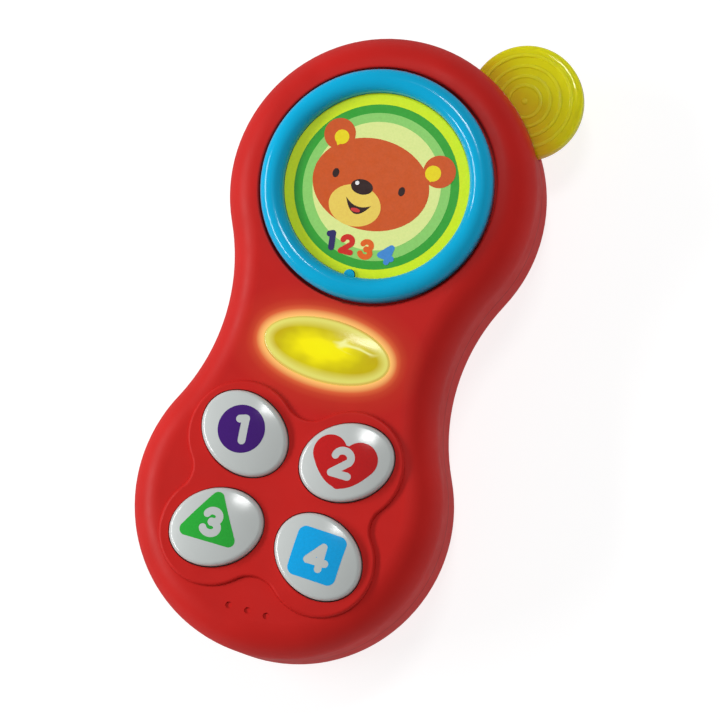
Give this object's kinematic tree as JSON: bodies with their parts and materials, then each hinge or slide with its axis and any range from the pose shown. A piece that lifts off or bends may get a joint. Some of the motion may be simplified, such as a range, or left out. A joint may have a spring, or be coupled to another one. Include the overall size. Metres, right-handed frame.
{
  "type": "toy cell phone",
  "caption": "Toy cell phone with a two-lobed red body, a turning picture dial, sprung numbered buttons, a lit lens and a round antenna.",
  "frame": {"origin": "centre of the flat back the phone lies on, midway along its length", "axes": "+X to the phone's right, +Y towards its head, +Z out of its face"},
  "size_m": [0.0784, 0.1625, 0.034],
  "materials": {
    "red_shell": "gloss red ABS",
    "blue_plastic": "gloss blue ABS",
    "picture": "printed label",
    "black_plastic": "satin black",
    "white_plastic": "satin white",
    "white_cap": "gloss off-white ABS",
    "steel": "zinc plated",
    "spring_steel": "bright",
    "contact": "nickel plated",
    "yellow_translucent": "translucent yellow",
    "lens_yellow": "translucent yellow, lit",
    "lamp_clear": "clear epoxy",
    "grey_rubber": "silicone",
    "board": "phenolic board",
    "black_resin": "epoxy",
    "battery_wrap": "plain wrap",
    "paper_cone": "paper",
    "magnet": "ferrite",
    "wire_red": "PVC sleeve",
    "wire_black": "PVC sleeve"
  },
  "bodies": {
    "housing": {"antenna": "yellow_translucent", "battery_left": "battery_wrap", "battery_right": "battery_wrap", "battery_wire_black": "wire_black", "battery_wire_red": "wire_red", "board_components": "black_resin", "board_screws": "steel", "case_screws": "steel", "contact_bridge": "contact", "contact_negative": "contact", "contact_positive": "contact", "contact_springs": "contact", "dial_click_spring": "spring_steel", "front_housing": "red_shell", "key_dome_1": "grey_rubber", "key_dome_2": "grey_rubber", "key_dome_3": "grey_rubber", "key_dome_4": "grey_rubber", "keypad_sheet": "grey_rubber", "lamp": "lamp_clear", "lens_screws": "steel", "light_lens": "lens_yellow", "light_reflector": "white_plastic", "main_board": "board", "rear_housing": "red_shell", "sound_chip": "black_resin", "speaker_cone": "paper_cone", "speaker_frame": "steel", "speaker_magnet": "magnet", "speaker_retainer": "black_plastic", "speaker_screws": "steel", "speaker_wire_black": "wire_black", "speaker_wire_red": "wire_red", "switch_body": "steel", "switch_screws": "steel"},
    "dial": {"dial_ring": "blue_plastic", "picture_disc": "picture", "dial_retainer": "black_plastic", "dial_screw": "steel"},
    "button_1": {"button_1": "white_cap"},
    "button_2": {"button_2": "white_cap"},
    "button_3": {"button_3": "white_cap"},
    "button_4": {"button_4": "white_cap"},
    "switch": {"switch_slider": "black_plastic", "switch_lever": "black_plastic"},
    "battery_door": {"battery_door": "red_shell", "door_screw": "steel"}
  },
  "joints": [
    {"name": "button_1_press", "type": "slide", "parent": "housing", "child": "button_1", "axis": [0, 0, -1], "range_m": [0, 0.0016], "stiffness_N_per_m": 600, "deforming": ["key_dome_1"]},
    {"name": "button_2_press", "type": "slide", "parent": "housing", "child": "button_2", "axis": [0, 0, -1], "range_m": [0, 0.0016], "stiffness_N_per_m": 600, "deforming": ["key_dome_2"]},
    {"name": "button_3_press", "type": "slide", "parent": "housing", "child": "button_3", "axis": [0, 0, -1], "range_m": [0, 0.0016], "stiffness_N_per_m": 600, "deforming": ["key_dome_3"]},
    {"name": "button_4_press", "type": "slide", "parent": "housing", "child": "button_4", "axis": [0, 0, -1], "range_m": [0, 0.0016], "stiffness_N_per_m": 600, "deforming": ["key_dome_4"]},
    {"name": "dial_turn", "type": "hinge", "parent": "housing", "child": "dial", "pos_m": [0, 0.0395, 0.0284], "axis": [0, 0, 1], "continuous": true},
    {"name": "switch_slide", "type": "slide", "parent": "housing", "child": "switch", "axis": [-1, 0, 0], "range_m": [0, 0.004]},
    {"name": "battery_door_tilt", "type": "hinge", "parent": "housing", "child": "battery_door", "pos_m": [0, -0.054, 0], "axis": [-1, 0, 0], "range_deg": [0, 45]}
  ]
}
